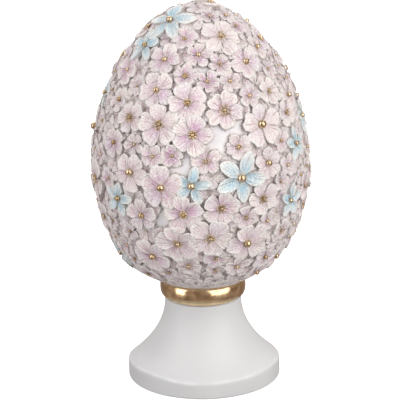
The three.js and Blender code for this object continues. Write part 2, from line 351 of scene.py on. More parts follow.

# How far from a petal the ground between the flowers still takes brown painted shade
CREVICE_SHADE_WIDTH = 0.8

# Paint of the petals, in linear colours: three tips that each petal lies between, the
# tint of the heart, how strong it is from the heart out, the painted shade, and the least
# share of the tint left between its streaks
PINK_TIPS = ((0.95, 0.875, 0.83), (0.91, 0.81, 0.79), (0.86, 0.785, 0.805))
PINK_HEART = (0.68, 0.32, 0.58)
PINK_SPREAD = ((0.2, 1.0), (0.55, 0.6), (0.9, 0.0))
PINK_PAINTED_SHADE = (0.58, 0.49, 0.47)
PINK_EVENNESS = 0.3
BLUE_TIPS = ((0.90, 0.89, 0.84), (0.86, 0.89, 0.86), (0.80, 0.88, 0.88))
BLUE_HEART = (0.36, 0.68, 0.88)
BLUE_SPREAD = ((0.15, 1.0), (0.5, 0.75), (0.9, 0.1))
BLUE_PAINTED_SHADE = (0.54, 0.56, 0.57)
BLUE_EVENNESS = 0.65
# A painted highlight along each petal's rim
RIM_HIGHLIGHT_COLOR = (0.93, 0.90, 0.87)
HEART_RING_COLOR = (0.92, 0.80, 0.70)
LINE_COLOR = (0.68, 0.57, 0.54)
LINE_STRENGTH = 0.8
GRAIN_COLOR = (0.76, 0.73, 0.72)
WHITE = (1, 1, 1)
BLACK = (0, 0, 0)

# How fine the paint is: streaks, lines and veins across a petal, how far petals differ,
# grain, glitter and relief to a metre, and the relief's depth in metres
STREAK_TURNS = 7
LINE_TURNS = 17
VEIN_TURN = 26
PETAL_VARIETY = 90
GRAIN_SCALE = 1500
GLITTER_SCALE = 1250
RELIEF_SCALE = 1300
RELIEF_DEPTH = 0.0005

# Gilt: roughness, the colours of its light and dark places, and how fine they are
FLOWER_GOLD = (0.22, (0.93, 0.77, 0.53), (0.44, 0.30, 0.16), 520)
COLLAR_GOLD = (0.16, (0.90, 0.69, 0.44), (0.72, 0.52, 0.30), 260)

# Softboxes: name, turn to the right of the camera and rise over the floor (degrees),
# distance, width and height (metres), power (watts) and colour
SOFTBOXES = [
    ("right_softbox", 46, 22, 1.3, 1.35, 2.0, 17.5, (1.0, 0.985, 0.96)),
    ("left_softbox", -62, 20, 1.3, 0.7, 2.0, 10, (1.0, 0.99, 0.98)),
    ("back_softbox", 180, 38, 1.5, 1.8, 1.0, 11, (1.0, 0.99, 0.98)),
]
LIGHT_TARGET = (0, 0, 0.11)
SKY = [(0.3, (0.47, 0.465, 0.46)), (0.5, (0.67, 0.665, 0.67)), (0.8, (0.47, 0.47, 0.48))]
SKY_STRENGTH = 0.88
ROOM_RADIUS = 1.9
ROOM_LOW = -1.3
ROOM_HIGH = 1.7
ROOM_AROUND = 48
FLOOR_HALF = 3.0
FLOOR_GLOW = 0.6


def egg_table():
    """Outline of the egg against latitude: radius, height, and the angle seen from its middle."""
    latitude = np.linspace(-math.pi / 2, math.pi / 2, OUTLINE_STEPS)
    across = np.clip(np.cos(latitude), 0, 1)
    along = np.sin(latitude)
    upper = along >= 0
    radius = EGG_RADIUS * np.where(upper, across ** UPPER_ROUNDING, across ** LOWER_ROUNDING)
    height = np.where(upper, EGG_RISE * np.abs(along) ** RISE_POWER, EGG_DROP * along)
    return radius, height, np.arctan2(height, radius)


TABLE_RADIUS, TABLE_HEIGHT, TABLE_ANGLE = egg_table()


def on_egg(points):
    """The points of the smooth egg in the directions of points, from the egg's middle."""
    away = np.atleast_2d(points) - EGG_MIDDLE
    flat = np.hypot(away[:, 0], away[:, 1])
    angle = np.arctan2(away[:, 2], flat)
    radius = np.interp(angle, TABLE_ANGLE, TABLE_RADIUS)
    height = np.interp(angle, TABLE_ANGLE, TABLE_HEIGHT)
    flat = np.maximum(flat, TINY)
    ways = away[:, :2] / flat[:, None]
    return np.column_stack([ways * radius[:, None], EGG_WAIST + height])


def above_hem(points):
    """Points of the egg, with those below the hem slid up the surface to it."""
    low = points[:, 2] < EGG_SEAT + HEM
    if low.any():
        hem_radius = np.interp(EGG_SEAT + HEM - EGG_WAIST, TABLE_HEIGHT, TABLE_RADIUS)
        flat = np.hypot(points[low, 0], points[low, 1])[:, None]
        points[low, :2] *= hem_radius / np.maximum(flat, TINY)
        points[low, 2] = EGG_SEAT + HEM
    return points


def hem_flatness(points):
    """How much of its full height relief keeps at points of the egg: less near the hem."""
    return np.clip((points[:, 2:3] - EGG_SEAT - HEM) / HEM_ZONE, HEM_FLATNESS, 1)


def outward_at(points):
    """Outward directions of the smooth egg at points on it."""
    points = np.atleast_2d(points)
    away = points - EGG_MIDDLE
    length = np.linalg.norm(away, axis=1, keepdims=True)
    away = away / np.maximum(length, TINY)
    right = np.column_stack([-away[:, 1], away[:, 0], np.zeros(len(away))])
    size = np.linalg.norm(right, axis=1, keepdims=True)
    right = np.where(size > NEAR_POLE, right / np.maximum(size, TINY), np.array([1.0, 0, 0]))
    climb = np.cross(away, right) * SMALL_STEP
    upward = on_egg(points + climb) - on_egg(points - climb)
    outward = np.cross(right, upward)
    return outward / np.linalg.norm(outward, axis=1, keepdims=True)


def view_axes():
    """The directions to the right, up and back from the picture towards the camera."""
    rise = math.radians(VIEW_RISE)
    back = np.array([0, -math.cos(rise), math.sin(rise)])
    right = np.array([1.0, 0, 0])
    return right, np.cross(back, right), back


def seen_place(across, down):
    """The place on the egg seen at a picture place, or the nearest one beside the outline."""
    right, up, back = view_axes()
    lean = math.radians(VIEW_LEAN)
    x = across - VIEW_MIDDLE[0]
    y = down - VIEW_MIDDLE[1]
    start = np.array([0, 0, VIEW_TARGET]) + VIEW_DISTANCE * back
    toward = -VIEW_DISTANCE * VIEW_SCALE * back
    toward = toward + right * (x * math.cos(lean) + y * math.sin(lean))
    toward = toward + up * (x * math.sin(lean) - y * math.cos(lean))
    toward = toward / np.linalg.norm(toward)
    reach = EGG_RISE + EGG_DROP
    far = np.arange(VIEW_DISTANCE - reach, VIEW_DISTANCE + reach, SIGHT_STEP)
    points = start + far[:, None] * toward
    surface = on_egg(points)
    height = np.linalg.norm(points - EGG_MIDDLE, axis=1)
    height = height - np.linalg.norm(surface - EGG_MIDDLE, axis=1)
    low = np.nonzero(height < CENTRE_HEIGHT)[0]
    chosen = low[0] if len(low) else int(np.argmin(height))
    return surface[chosen]


def make_flower(kind, place, radius, turn, flush, centre, centre_radius, layer):
    """A flower's values, with the directions to its right, upward and outward."""
    outward = outward_at(place)[0]
    away = place - EGG_MIDDLE
    right = np.array([-away[1], away[0], 0.0])
    size = np.linalg.norm(right)
    right = right / size if size > SMALL_STEP else np.array([1.0, 0, 0])
    upward = np.cross(outward, right)
    return {
        "kind": kind, "place": place, "radius": radius, "turn": turn, "flush": flush,
        "centre": centre, "centre_radius": centre_radius, "layer": layer,
        "outward": outward, "right": right, "upward": upward,
    }


def flowers_in_view(kind, rows, layers):
    """The flowers of one list, lying from the first to the last of two layers."""
    flowers = []
    for i, (across, down, radius, turn, *look) in enumerate(rows):
        layer = layers[0] + (layers[1] - layers[0]) * i / (len(rows) - 1)
        place = seen_place(across, down)
        flowers.append(make_flower(kind, place, radius, math.radians(turn), *look, layer))
    return flowers


def has_room(place, kind, radius, apart, share, flowers):
    """Whether a flower at a place keeps clear of its neighbours and off its own kind."""
    for other in flowers:
        gap = np.linalg.norm(place - other["place"])
        if gap <= share * (radius + other["radius"]):
            return False
        if other["kind"] == kind and gap <= apart:
            return False
    return True


def winding_places(tries):
    """Turns and places that wind round the egg from its top down to its bottom."""
    for i in range(tries):
        height = 1 - (2 * i + 1) / tries
        flat = math.sqrt(1 - height * height)
        turn = GOLDEN_TURN * i
        toward = np.array([flat * math.cos(turn), flat * math.sin(turn), height])
        yield turn, on_egg(EGG_MIDDLE + toward)[0]


def add_hidden(flowers, rules, share, layers, random):
    """Adds flowers out of sight by winding tries round the egg, larger flowers first."""
    back = view_axes()[2]
    for kind, radius, apart, clearance, tries in rules:
        for turn, place in winding_places(tries):
            if place[2] <= EGG_SEAT + clearance or outward_at(place)[0] @ back >= IN_SIGHT:
                continue
            if not has_room(place, kind, radius, apart, share, flowers):
                continue
            flush = random.uniform(*HIDDEN_FLUSHES)
            centre = random.choice(CENTRE_KINDS, p=CENTRE_ODDS)
            centre_radius = radius * (BALL_SHARE if centre == "ball" else CLUSTER_SHARE)
            if radius < DOTTED_BELOW:
                centre = "dot"
                centre_radius = DOT_RADIUS
            layer = random.uniform(*layers)
            flowers.append(make_flower(
                kind, place, radius, turn, flush, centre, centre_radius, layer))


def add_tucked(flowers, random):
    """Adds plain blooms tucked under the others, so that only petals show in the gaps."""
    bare = [(seen_place(across, down), radius) for across, down, radius in BARE_PATCHES]
    for kind, radius, apart, clearance, tries in TUCKED:
        margin = PATCH_MARGIN * radius
        for turn, place in winding_places(tries):
            if place[2] < EGG_SEAT + clearance:
                continue
            if any(np.linalg.norm(place - patch) < size + margin for patch, size in bare):
                continue
            if not has_room(place, kind, radius, apart, TUCKED_SHARE, flowers):
                continue
            layer = random.uniform(*TUCKED_LAYERS)
            flush = random.uniform(*TUCKED_FLUSHES)
            flowers.append(make_flower(kind, place, radius, turn, flush, "none", 0, layer))


def all_flowers(random):
    flowers = flowers_in_view("star", BLUE_STARS, STAR_LAYERS)
    flowers += flowers_in_view("round", BEADED_BLOOMS, BEADED_LAYERS)
    flowers += flowers_in_view("round", STAMEN_BLOOMS, STAMEN_LAYERS)
    add_hidden(flowers, LARGE_HIDDEN, NEIGHBOUR_SHARE, HIDDEN_LAYERS, random)
    flowers += flowers_in_view("round", SMALLER_BLOOMS, SMALLER_LAYERS)
    add_hidden(flowers, FILLING, FILLING_SHARE, FILLING_LAYERS, random)
    add_tucked(flowers, random)
    for flower in flowers:
        spreads = STAR_SPREADS if flower["kind"] == "star" else ROUND_SPREADS
        flower["spread"] = random.uniform(*spreads)
    return flowers


def add_object(name, data):
    """A new object in the scene, from its mesh, light or camera."""
    item = bpy.data.objects.new(name, data)
    bpy.context.scene.collection.objects.link(item)
    return item


class MeshParts:
    """Collects closed meshes with their surface values into one object."""

    def __init__(self):
        self.points = []
        self.faces = []
        self.values = []
        self.count = 0

    def add(self, points, faces, values):
        """Adds a mesh with five values a point: four marks, and how far across it lies."""
        self.faces.extend([tuple(index + self.count for index in face) for face in faces])
        self.points.append(points)
        self.values.append(values)
        self.count += len(points)

    def make(self, name, material):
        points = np.vstack(self.points) * MM
        values = np.vstack(self.values)
        mesh = bpy.data.meshes.new(name)
        mesh.from_pydata(points.tolist(), [], self.faces)
        layer = mesh.attributes.new("marks", "FLOAT_COLOR", "POINT")
        layer.data.foreach_set("color", values[:, :4].ravel())
        across = mesh.attributes.new("across", "FLOAT", "POINT")
        across.data.foreach_set("value", values[:, 4])
        mesh.polygons.foreach_set("use_smooth", [True] * len(mesh.polygons))
        mesh.materials.append(material)
        mesh.update()
        return add_object(name, mesh)


def ring_points(radius, height, around):
    turns = np.linspace(0, 2 * math.pi, around, endpoint=False)
    return [(radius * math.cos(turn), radius * math.sin(turn), height) for turn in turns]


def ring_faces(rows, around):
    """Faces of a surface of revolution: a point, rows of points round the axis, a point."""
    faces = []
    last = 1 + rows * around
    for i in range(around):
        after = (i + 1) % around
        faces.append((0, 1 + after, 1 + i))
        for row in range(rows - 1):
            low = 1 + row * around
            faces.append((low + i, low + after, low + around + after, low + around + i))
        low = 1 + (rows - 1) * around
        faces.append((low + i, low + after, last))
    return faces


def draw_petal(flower, index, random):
    """The values that one petal draws for its form and its paint."""
    size = flower["radius"] / FORM_RADIUS
    return {
        "radius": flower["radius"] * random.uniform(*SIZES),
        "fullness": random.uniform(*ROUND_FULLNESSES),
        "notch": random.choice(NOTCHES),
        "angle": flower["turn"] + 2 * math.pi * index / PETALS + random.uniform(-SWAY, SWAY),
        "lift": LAYER_LIFT * flower["layer"] + random.uniform(*LIFTS) * size,
        "rise": random.uniform(*RISES),
        "tilt": random.uniform(*TILTS) * size,
        "cup": random.uniform(*CUPS) * size,
        "curl": random.uniform(*CURLS) * size,
        "phase": random.uniform(0, 2 * math.pi, 2),
        "shade": random.uniform(0, 1),
        "flush": flower["flush"] * random.uniform(*FLUSHES),
    }


def petal_reach(kind, side, petal):
    """A petal's reach, as a share of its radius, from one side (-1) to the other (1)."""
    aside = np.abs(side)
    phase = petal["phase"]
    if kind == "star":
        curve = np.clip(1 - aside ** STAR_FULLNESS, 0, 1) ** STAR_BLUNTNESS
        reach = STAR_WAIST + (1 - STAR_WAIST) * curve
    else:
        curve = np.clip(1 - aside ** petal["fullness"], 0, 1) ** ROUND_BLUNTNESS
        reach = ROUND_WAIST + (1 - ROUND_WAIST) * curve
        notch_side = NOTCH_SHIFT * math.sin(phase[0])
        notch = petal["notch"] * np.exp(-((side - notch_side) / NOTCH_WIDTH) ** 2)
        reach = reach * (1 - notch)
    slow = SLOW_WAVE * np.sin(SLOW_TURNS * side + phase[0])
    fast = FAST_WAVE * np.sin(FAST_TURNS * side + phase[1])
    return reach * (1 + slow + fast)


def petal_heights(side, rows, petal, size):
    """Heights of a petal's top: cupped and tilted, with veins, a flutter and a rolled rim."""
    groove = np.cos(np.arange(len(side)) * math.pi) * 0.5 + 0.5
    height = BASE_HEIGHT + petal["rise"] * rows ** RISE_CURVE + petal["lift"]
    height = height + (petal["tilt"] * side + petal["cup"] * (side ** 2 - CUP_MIDDLE)) * rows
    height = height + petal["curl"] * np.clip(rows - CURL_START, 0, 1) ** 2 * CURL_GAIN
    flutter = np.sin(SLOW_TURNS * side + petal["phase"][1])
    height = height + FLUTTER * size * flutter * rows ** 3
    depth = np.sin(math.pi * np.clip(rows, *GROOVE_ENDS)) ** GROOVE_CURVE
    height = height - GROOVE_DEPTH * groove * depth
    height[:, [0, -1]] -= SIDE_DROP
    height[-2] += RIM_RISE
    height[-1] -= RIM_DROP
    return height


def petal_faces(columns, steps, edge, first):
    """Faces of a petal's top, of the two bands that go down from its edge, and its root."""
    wide = columns + 1
    faces = []
    for row in range(steps):
        for column in range(columns):
            low = row * wide + column
            faces.append((low, low + wide, low + wide + 1, low + 1))
    total = len(edge)
    second = first + total
    for i in range(total):
        after = (i + 1) % total
        faces.append((edge[after], edge[i], first + i, first + after))
        faces.append((first + after, first + i, second + i, second + after))
    faces.append(tuple(range(second, second + total)))
    return [face[::-1] for face in faces]


def add_petal(parts, flower, index, random, grid):
    """One petal as a closed shell on the egg. Returns the places under its edge."""
    columns, steps = grid
    petal = draw_petal(flower, index, random)
    side = np.sin(np.linspace(-math.pi / 2, math.pi / 2, columns + 1))
    share = 1 - (1 - np.linspace(HEART_SHARE, 1, steps + 1)) ** ROW_CROWDING
    turn = petal["angle"] + side * math.radians(flower["spread"])
    distance = share[:, None] * petal_reach(flower["kind"], side, petal)[None, :]
    height = petal_heights(side, share[:, None], petal, flower["radius"] / FORM_RADIUS)
    x = distance * np.cos(turn)
    y = distance * np.sin(turn)
    top = np.column_stack([x.ravel(), y.ravel(), height.ravel()])

    wide = columns + 1
    edge = [row * wide for row in range(steps)]
    edge += [steps * wide + column for column in range(wide)]
    edge += [row * wide + columns for row in reversed(range(steps))]
    border = top[edge]
    heart = border.mean(axis=0)
    wall = heart + (border - heart) * WALL_SHARE
    wall[:, 2] = border[:, 2] - WALL_HEIGHT * PETAL_THICKNESS
    root = heart + (border - heart) * ROOT_SHARE
    root[:, 2] = border[:, 2] - PETAL_THICKNESS - ROOT_DEPTH
    local = np.vstack([top, wall, root])
    places = flower["place"] + petal["radius"] * (
        local[:, :1] * flower["right"] + local[:, 1:2] * flower["upward"])
    feet = above_hem(on_egg(places))
    points = feet + outward_at(feet) * local[:, 2:3] * hem_flatness(feet)
    points[:, 2] = np.maximum(points[:, 2], PETAL_FLOOR)

    total = len(edge)
    first = len(top)
    # Painted shade: darker along the petal's sides near its heart, on its wall and on its root
    painted_shade = np.zeros(len(local))
    painted_shade[edge] = SIDE_PAINTED_SHADE * (1 - np.repeat(share, wide)[edge]) ** SIDE_PAINTED_SHADE_CURVE
    painted_shade[first:first + total] = WALL_PAINTED_SHADE
    painted_shade[first + total:] = ROOT_PAINTED_SHADE
    far = np.concatenate([np.repeat(share, wide), np.ones(2 * total)])
    across = np.concatenate([np.tile(side, steps + 1), np.tile(side[:1], 2 * total)])
    flush = np.full(len(far), petal["flush"])
    shade = np.full(len(far), petal["shade"])
    values = np.column_stack([far, flush, painted_shade, shade, across * 0.5 + 0.5])
    parts.add(points, petal_faces(columns, steps, edge, first), values)
    return feet[edge]


def ball_mesh(rings, segments):
    """A unit ball as points and faces."""
    points = [(0, 0, -1)]
    for rise in np.linspace(-math.pi / 2, math.pi / 2, rings + 1)[1:-1]:
        points += ring_points(math.cos(rise), math.sin(rise), segments)
    points.append((0, 0, 1))
    return np.array(points), ring_faces(rings - 1, segments)


BALL = ball_mesh(rings=10, segments=16)
BEAD = ball_mesh(rings=6, segments=8)


def add_ball(parts, flower, x, y, height, radius, shape, squash=1.0):
    """A ball of a given shape beside a flower's middle, at a height over the egg."""
    points, faces = shape
    axes = np.array([flower["right"], flower["upward"], flower["outward"]])
    foot = flower["place"] + x * flower["right"] + y * flower["upward"]
    foot = above_hem(on_egg(foot))
    middle = foot[0] + height * hem_flatness(foot)[0, 0] * flower["outward"]
    scaled = points * np.array([radius, radius, radius * squash])
    parts.add(middle + scaled @ axes, faces, np.full((len(points), 5), 0.5))


def add_filament(parts, flower, angle, reach, base):
    """A thin stamen: a four-sided rod from near the heart to its bead."""
    way = np.array([math.cos(angle), math.sin(angle)])
    side = np.array([-way[1], way[0]]) * STAMEN_WIDTH
    none = np.zeros(2)
    corners = ((side, 0), (none, STAMEN_WIDTH), (-side, 0), (none, -STAMEN_WIDTH))
    points = []
    for distance, height in ((STAMEN_START, base + STAMEN_LOW), (reach, base + STAMEN_HIGH)):
        for offset, rise in corners:
            flat = way * distance + offset
            place = flower["place"] + flat[0] * flower["right"] + flat[1] * flower["upward"]
            foot = above_hem(on_egg(place))
            over = height * hem_flatness(foot)[0, 0] + rise
            points.append(foot[0] + over * flower["outward"])
    faces = [(i, (i + 1) % 4, 4 + (i + 1) % 4, 4 + i) for i in range(4)]
    faces += [(3, 2, 1, 0), (4, 5, 6, 7)]
    parts.add(np.array(points), faces, np.full((len(points), 5), 0.5))


def add_bead_cluster(parts, flower, base, random):
    """A middle bead in a ring of smaller ones."""
    radius = flower["centre_radius"]
    add_ball(parts, flower, 0, 0, base + MIDDLE_LIFT, MIDDLE_BEAD * radius, BEAD)
    for i in range(BEADS):
        turn = flower["turn"] + 2 * math.pi * i / BEADS
        x = RING_REACH * radius * math.cos(turn)
        y = RING_REACH * radius * math.sin(turn)
        height = base + RING_LIFT + random.uniform(0, RING_JITTER)
        add_ball(parts, flower, x, y, height, RING_BEAD * radius, BEAD)


def add_stamens(parts, flower, base, random):
    """A middle bead with thin stamens round it, each with a bead at its end."""
    radius = flower["centre_radius"]
    add_ball(parts, flower, 0, 0, base + PISTIL_LIFT, PISTIL_BEAD * radius, BEAD)
    count = MANY_STAMENS if radius > MANY_FROM else FEW_STAMENS
    for i in range(count):
        turn = 2 * math.pi * (i + random.uniform(-STAMEN_SWAY, STAMEN_SWAY)) / count
        reach = radius * random.uniform(*STAMEN_REACHES)
        add_filament(parts, flower, turn, reach, base)
        x = reach * math.cos(turn)
        y = reach * math.sin(turn)
        bead = STAMEN_BEAD * radius + STAMEN_BEAD_LEAST
        add_ball(parts, flower, x, y, base + STAMEN_BEAD_LIFT, bead, BEAD)


def add_centre(parts, flower, random):
    """The gilt centre of a flower, of the kind that it has."""
    radius = CENTRE_SHARE * flower["centre_radius"]
    base = CENTRE_BASE + LAYER_LIFT * flower["layer"]
    centre = flower["centre"]
    if centre == "ball":
        add_ball(parts, flower, 0, 0, base + BALL_LIFT * radius, radius, BALL, BALL_SQUASH)
    elif centre == "dot":
        add_ball(parts, flower, 0, 0, base + DOT_LIFT * radius, radius, BEAD, BALL_SQUASH)
    elif centre == "beads":
        add_bead_cluster(parts, flower, base, random)
    elif centre == "stamens":
        add_stamens(parts, flower, base, random)


def hand_finish(radius, height, turn):
    """The slight waviness that hand finishing leaves on the foot, most at its upper edge."""
    front = turn + math.pi / 2
    near = math.exp(-((height - FOOT_BAND_HEIGHT) / WAVE_REACH) ** 2)
    near = near * min(1, height / WAVE_REACH)
    wave = EDGE_WAVE * (1 - math.cos(WAVE_TURNS * front))
    rise = near * (EDGE_RIPPLE * math.sin(RIPPLE_TURNS * front) + wave)
    swell = SIDE_SWELL * math.sin(SWELL_TURNS * front + SWELL_START) * (1 - height / NECK_TOP)
    return radius + swell, height + rise


def painted_light_marks(radius, height):
    """Surface values of the foot: how near its upper edge is, for a painted highlight there, and
    whether this is the band, for painted shade.
    """
    away = math.hypot(radius - FOOT_RADIUS, height - FOOT_BAND_HEIGHT)
    band = 1 if height < FOOT_BAND_HEIGHT - FOOT_EDGE else 0
    return math.exp(-(away / FOOT_EDGE) ** 2), band, 0, 0, 0


def turned_mesh(name, outline, material, finish=None, marks=None):
    """A turned piece from a closed half outline that starts and ends on the axis."""
    blank = (0, 0, 0, 0, 0)
    points = [(0, 0, outline[0][1])]
    values = [blank]
    for radius, height in outline[1:-1]:
        for turn in np.linspace(0, 2 * math.pi, AROUND, endpoint=False):
            wide, high = finish(radius, height, turn) if finish else (radius, height)
            points.append((wide * math.cos(turn), wide * math.sin(turn), high))
            values.append(marks(radius, height) if marks else blank)
    points.append((0, 0, outline[-1][1]))
    values.append(blank)
    parts = MeshParts()
    faces = ring_faces(len(outline) - 2, AROUND)
    parts.add(np.array(points), faces, np.array(values, float))
    return parts.make(name, material)


def arc(middle, radius, start, end):
    turns = np.radians(np.linspace(start, end, EDGE_POINTS))
    return [(middle[0] + radius * math.cos(t), middle[1] + radius * math.sin(t)) for t in turns]


def stand_outline():
    """Half outline of the stand: a rounded band, then the flare up to the neck."""
    edge_radius = FOOT_RADIUS - FOOT_EDGE
    outline = [(0, 0)]
    outline += arc((edge_radius, FOOT_EDGE), FOOT_EDGE, -90, 0)
    outline += [(FOOT_RADIUS, FOOT_BAND_HEIGHT * level) for level in BAND_LEVELS]
    outline += arc((edge_radius, FOOT_BAND_HEIGHT - FOOT_EDGE), FOOT_EDGE, 0, EDGE_ARC)
    shoulder = outline[-1]
    for i in range(1, FLARE_STEPS + 1):
        up = i / FLARE_STEPS
        spread = (shoulder[0] - NECK_RADIUS) * (1 - up) ** FLARE_POWER
        outline.append((NECK_RADIUS + spread, shoulder[1] + (NECK_TOP - shoulder[1]) * up))
    outline.append((0, NECK_TOP))
    return outline


def collar_outline():
    """Half outline of the collar, whose rim is a fuller oval."""
    outline = [(0, COLLAR_MIDDLE - COLLAR_HALF_HEIGHT)]
    for turn in np.radians(np.linspace(-90, 90, COLLAR_POINTS)):
        across = max(0.0, math.cos(turn)) ** COLLAR_FULLNESS
        along = math.copysign(abs(math.sin(turn)) ** COLLAR_FULLNESS, turn)
        outline.append((
            COLLAR_RADIUS + COLLAR_RIM_WIDTH * across,
            COLLAR_MIDDLE + COLLAR_HALF_HEIGHT * along))
    outline.append((0, COLLAR_MIDDLE + COLLAR_HALF_HEIGHT))
    return outline


def new_material(name, roughness, metallic=0.0):
    material = bpy.data.materials.new(name)
    material.use_nodes = True
    shader = material.node_tree.nodes["Principled BSDF"]
    shader.inputs["Roughness"].default_value = roughness
    shader.inputs["Metallic"].default_value = metallic
    return material, material.node_tree, shader


def add_node(tree, kind, **settings):
    node = tree.nodes.new(kind)
    for key, value in settings.items():
        setattr(node, key, value)
    return node


def grey(level):
    return (level, level, level)


def mix_colors(tree, factor, first, second, blend="MIX"):
    """A colour mix node; each input may be a socket, a colour or a number."""
    node = add_node(tree, "ShaderNodeMix", data_type="RGBA", blend_type=blend)
    inputs = (node.inputs[0], factor), (node.inputs[6], first), (node.inputs[7], second)
    for socket, value in inputs:
        if isinstance(value, bpy.types.NodeSocket):
            tree.links.new(value, socket)
        elif isinstance(value, (int, float)):
            socket.default_value = value
        else:
            socket.default_value = (*value, 1)
    return node.outputs[2]


def multiply_colors(tree, first, second):
    return mix_colors(tree, 1.0, first, second, "MULTIPLY")


def ramp(tree, value, stops):
    """A colour ramp over a value, from its stops of place and colour."""
    node = add_node(tree, "ShaderNodeValToRGB")
    elements = node.color_ramp.elements
    while len(elements) < len(stops):
        elements.new(0.5)
    for element, (place, color) in zip(elements, stops):
        element.position = place
        element.color = (*color, 1)
    tree.links.new(value, node.inputs[0])
    return node.outputs[0]


def math_node(tree, operation, first, second=0):
    node = add_node(tree, "ShaderNodeMath", operation=operation)
    for socket, value in zip(node.inputs, (first, second)):
        if isinstance(value, bpy.types.NodeSocket):
            tree.links.new(value, socket)
        else:
            socket.default_value = value
    return node.outputs[0]


def noise(tree, scale, detail=2.0, rough=0.5):
    place = add_node(tree, "ShaderNodeTexCoord")
    node = add_node(tree, "ShaderNodeTexNoise")
    node.inputs["Scale"].default_value = scale
    node.inputs["Detail"].default_value = detail
    node.inputs["Roughness"].default_value = rough
    tree.links.new(place.outputs["Object"], node.inputs["Vector"])
    return node.outputs["Fac"]


def bump(tree, shader, height, strength, distance):
    node = add_node(tree, "ShaderNodeBump")
    node.inputs["Strength"].default_value = strength
    node.inputs["Distance"].default_value = distance
    tree.links.new(height, node.inputs["Height"])
    tree.links.new(node.outputs["Normal"], shader.inputs["Normal"])


def surface_marks(tree):
    """The first three of a piece's surface values, and the fourth."""
    marks = add_node(tree, "ShaderNodeAttribute", attribute_name="marks")
    split = add_node(tree, "ShaderNodeSeparateColor")
    tree.links.new(marks.outputs["Color"], split.inputs[0])
    return split.outputs, marks.outputs["Alpha"]


def petal_streaks(tree, across, share, shade, turns, detail):
    """Streaks from the heart of a petal to its rim, different on each petal."""
    place = add_node(tree, "ShaderNodeCombineXYZ")
    tree.links.new(math_node(tree, "MULTIPLY", across, turns), place.inputs[0])
    tree.links.new(share, place.inputs[1])
    tree.links.new(math_node(tree, "MULTIPLY", shade, PETAL_VARIETY), place.inputs[2])
    node = add_node(tree, "ShaderNodeTexNoise")
    node.inputs["Scale"].default_value = 1
    node.inputs["Detail"].default_value = detail
    tree.links.new(place.outputs[0], node.inputs["Vector"])
    return node.outputs["Fac"]


def petal_material(name, tips, heart, spread_stops, painted_shade_color, evenness):
    """Painted petals: a tinted heart, paler tips, painted shade in the low places, a painted
    highlight at the rim, fine glitter with painted glints.
    """
    material, tree, shader = new_material(name, 0.5)
    (share, flush, painted_shade), shade = surface_marks(tree)
    across = add_node(tree, "ShaderNodeAttribute", attribute_name="across").outputs["Fac"]

    tip = ramp(tree, shade, [(0.0, tips[0]), (0.5, tips[1]), (1.0, tips[2])])
    spread = ramp(tree, share, [(place, grey(level)) for place, level in spread_stops])
    streaks = petal_streaks(tree, across, share, shade, STREAK_TURNS, 3)
    patchy = ramp(tree, streaks, [(0.34, grey(evenness)), (0.56, WHITE)])
    strength = math_node(tree, "MULTIPLY", math_node(tree, "MULTIPLY", spread, flush), patchy)
    color = mix_colors(tree, strength, tip, heart)

    lines = petal_streaks(tree, across, share, shade, LINE_TURNS, 2)
    line_color = ramp(tree, lines, [(0.34, LINE_COLOR), (0.47, WHITE)])
    color = mix_colors(tree, LINE_STRENGTH, color, multiply_colors(tree, color, line_color))
    # Painted highlight: the petal is lightened towards its rim
    rim_highlight = ramp(tree, share, [(0.84, BLACK), (0.95, grey(0.55))])
    color = mix_colors(tree, rim_highlight, color, RIM_HIGHLIGHT_COLOR)
    heart_ring = ramp(tree, share, [(0.24, grey(0.7)), (0.32, BLACK)])
    color = mix_colors(tree, heart_ring, color, HEART_RING_COLOR)
    # Painted shade darkens the petal's sides, wall and root
    color = mix_colors(tree, painted_shade, color, painted_shade_color)

    grain = ramp(tree, noise(tree, GRAIN_SCALE, 2, 0.7), [(0.34, GRAIN_COLOR), (0.46, WHITE)])
    color = multiply_colors(tree, color, grain)
    # Glitter flecks: real glossier specks, painted near white in the colour as glints
    glitter_and_glints = ramp(tree, noise(tree, GLITTER_SCALE, 1, 0.5), [(0.58, BLACK), (0.66, grey(0.85))])
    color = mix_colors(tree, glitter_and_glints, color, WHITE)
    tree.links.new(color, shader.inputs["Base Color"])
    gloss = ramp(tree, glitter_and_glints, [(0.0, grey(0.62)), (0.8, grey(0.25))])
    tree.links.new(gloss, shader.inputs["Roughness"])

    veins = math_node(tree, "SINE", math_node(tree, "MULTIPLY", across, VEIN_TURN))
    veins = math_node(tree, "ABSOLUTE", veins)
    relief = math_node(tree, "MULTIPLY", veins, 0.5)
    relief = math_node(tree, "ADD", noise(tree, RELIEF_SCALE, 3, 0.7), relief)
    relief = math_node(tree, "ADD", relief, math_node(tree, "MULTIPLY", lines, 1.5))
    bump(tree, shader, relief, 0.7, RELIEF_DEPTH)
    return material


def ground_material():
    """The smooth egg between the flowers: pale where bare, with brown painted shade in the
    crevices.
    """
    material, tree, shader = new_material("egg_ground", 0.45)
    depth = surface_marks(tree)[0][2]
    # Painted shade: the ground is darker brown the nearer it lies to a petal
    color = ramp(tree, depth, [
        (0.0, (0.90, 0.87, 0.87)), (0.4, (0.78, 0.73, 0.71)),
        (0.75, (0.52, 0.45, 0.42)), (1.0, (0.28, 0.22, 0.20))])
    cloud = ramp(tree, noise(tree, 90, 3), [(0.35, (0.86, 0.86, 0.92)), (0.65, WHITE)])
    color = multiply_colors(tree, color, cloud)
    tree.links.new(color, shader.inputs["Base Color"])
    bump(tree, shader, noise(tree, 600, 3), 0.2, 0.0003)
    return material


def gold_material(name, roughness, light, dark, grain):
    """Gilt with light and dark places and an uneven gloss."""
    material, tree, shader = new_material(name, roughness, 1.0)
    color = ramp(tree, noise(tree, grain, 3), [(0.35, dark), (0.65, light)])
    tree.links.new(color, shader.inputs["Base Color"])
    level = ramp(tree, noise(tree, 420, 2), [
        (0.35, grey(roughness * 0.75)), (0.7, grey(roughness * 1.5))])
    tree.links.new(level, shader.inputs["Roughness"])
    bump(tree, shader, noise(tree, 240, 3), 0.12, 0.0006)
    return material


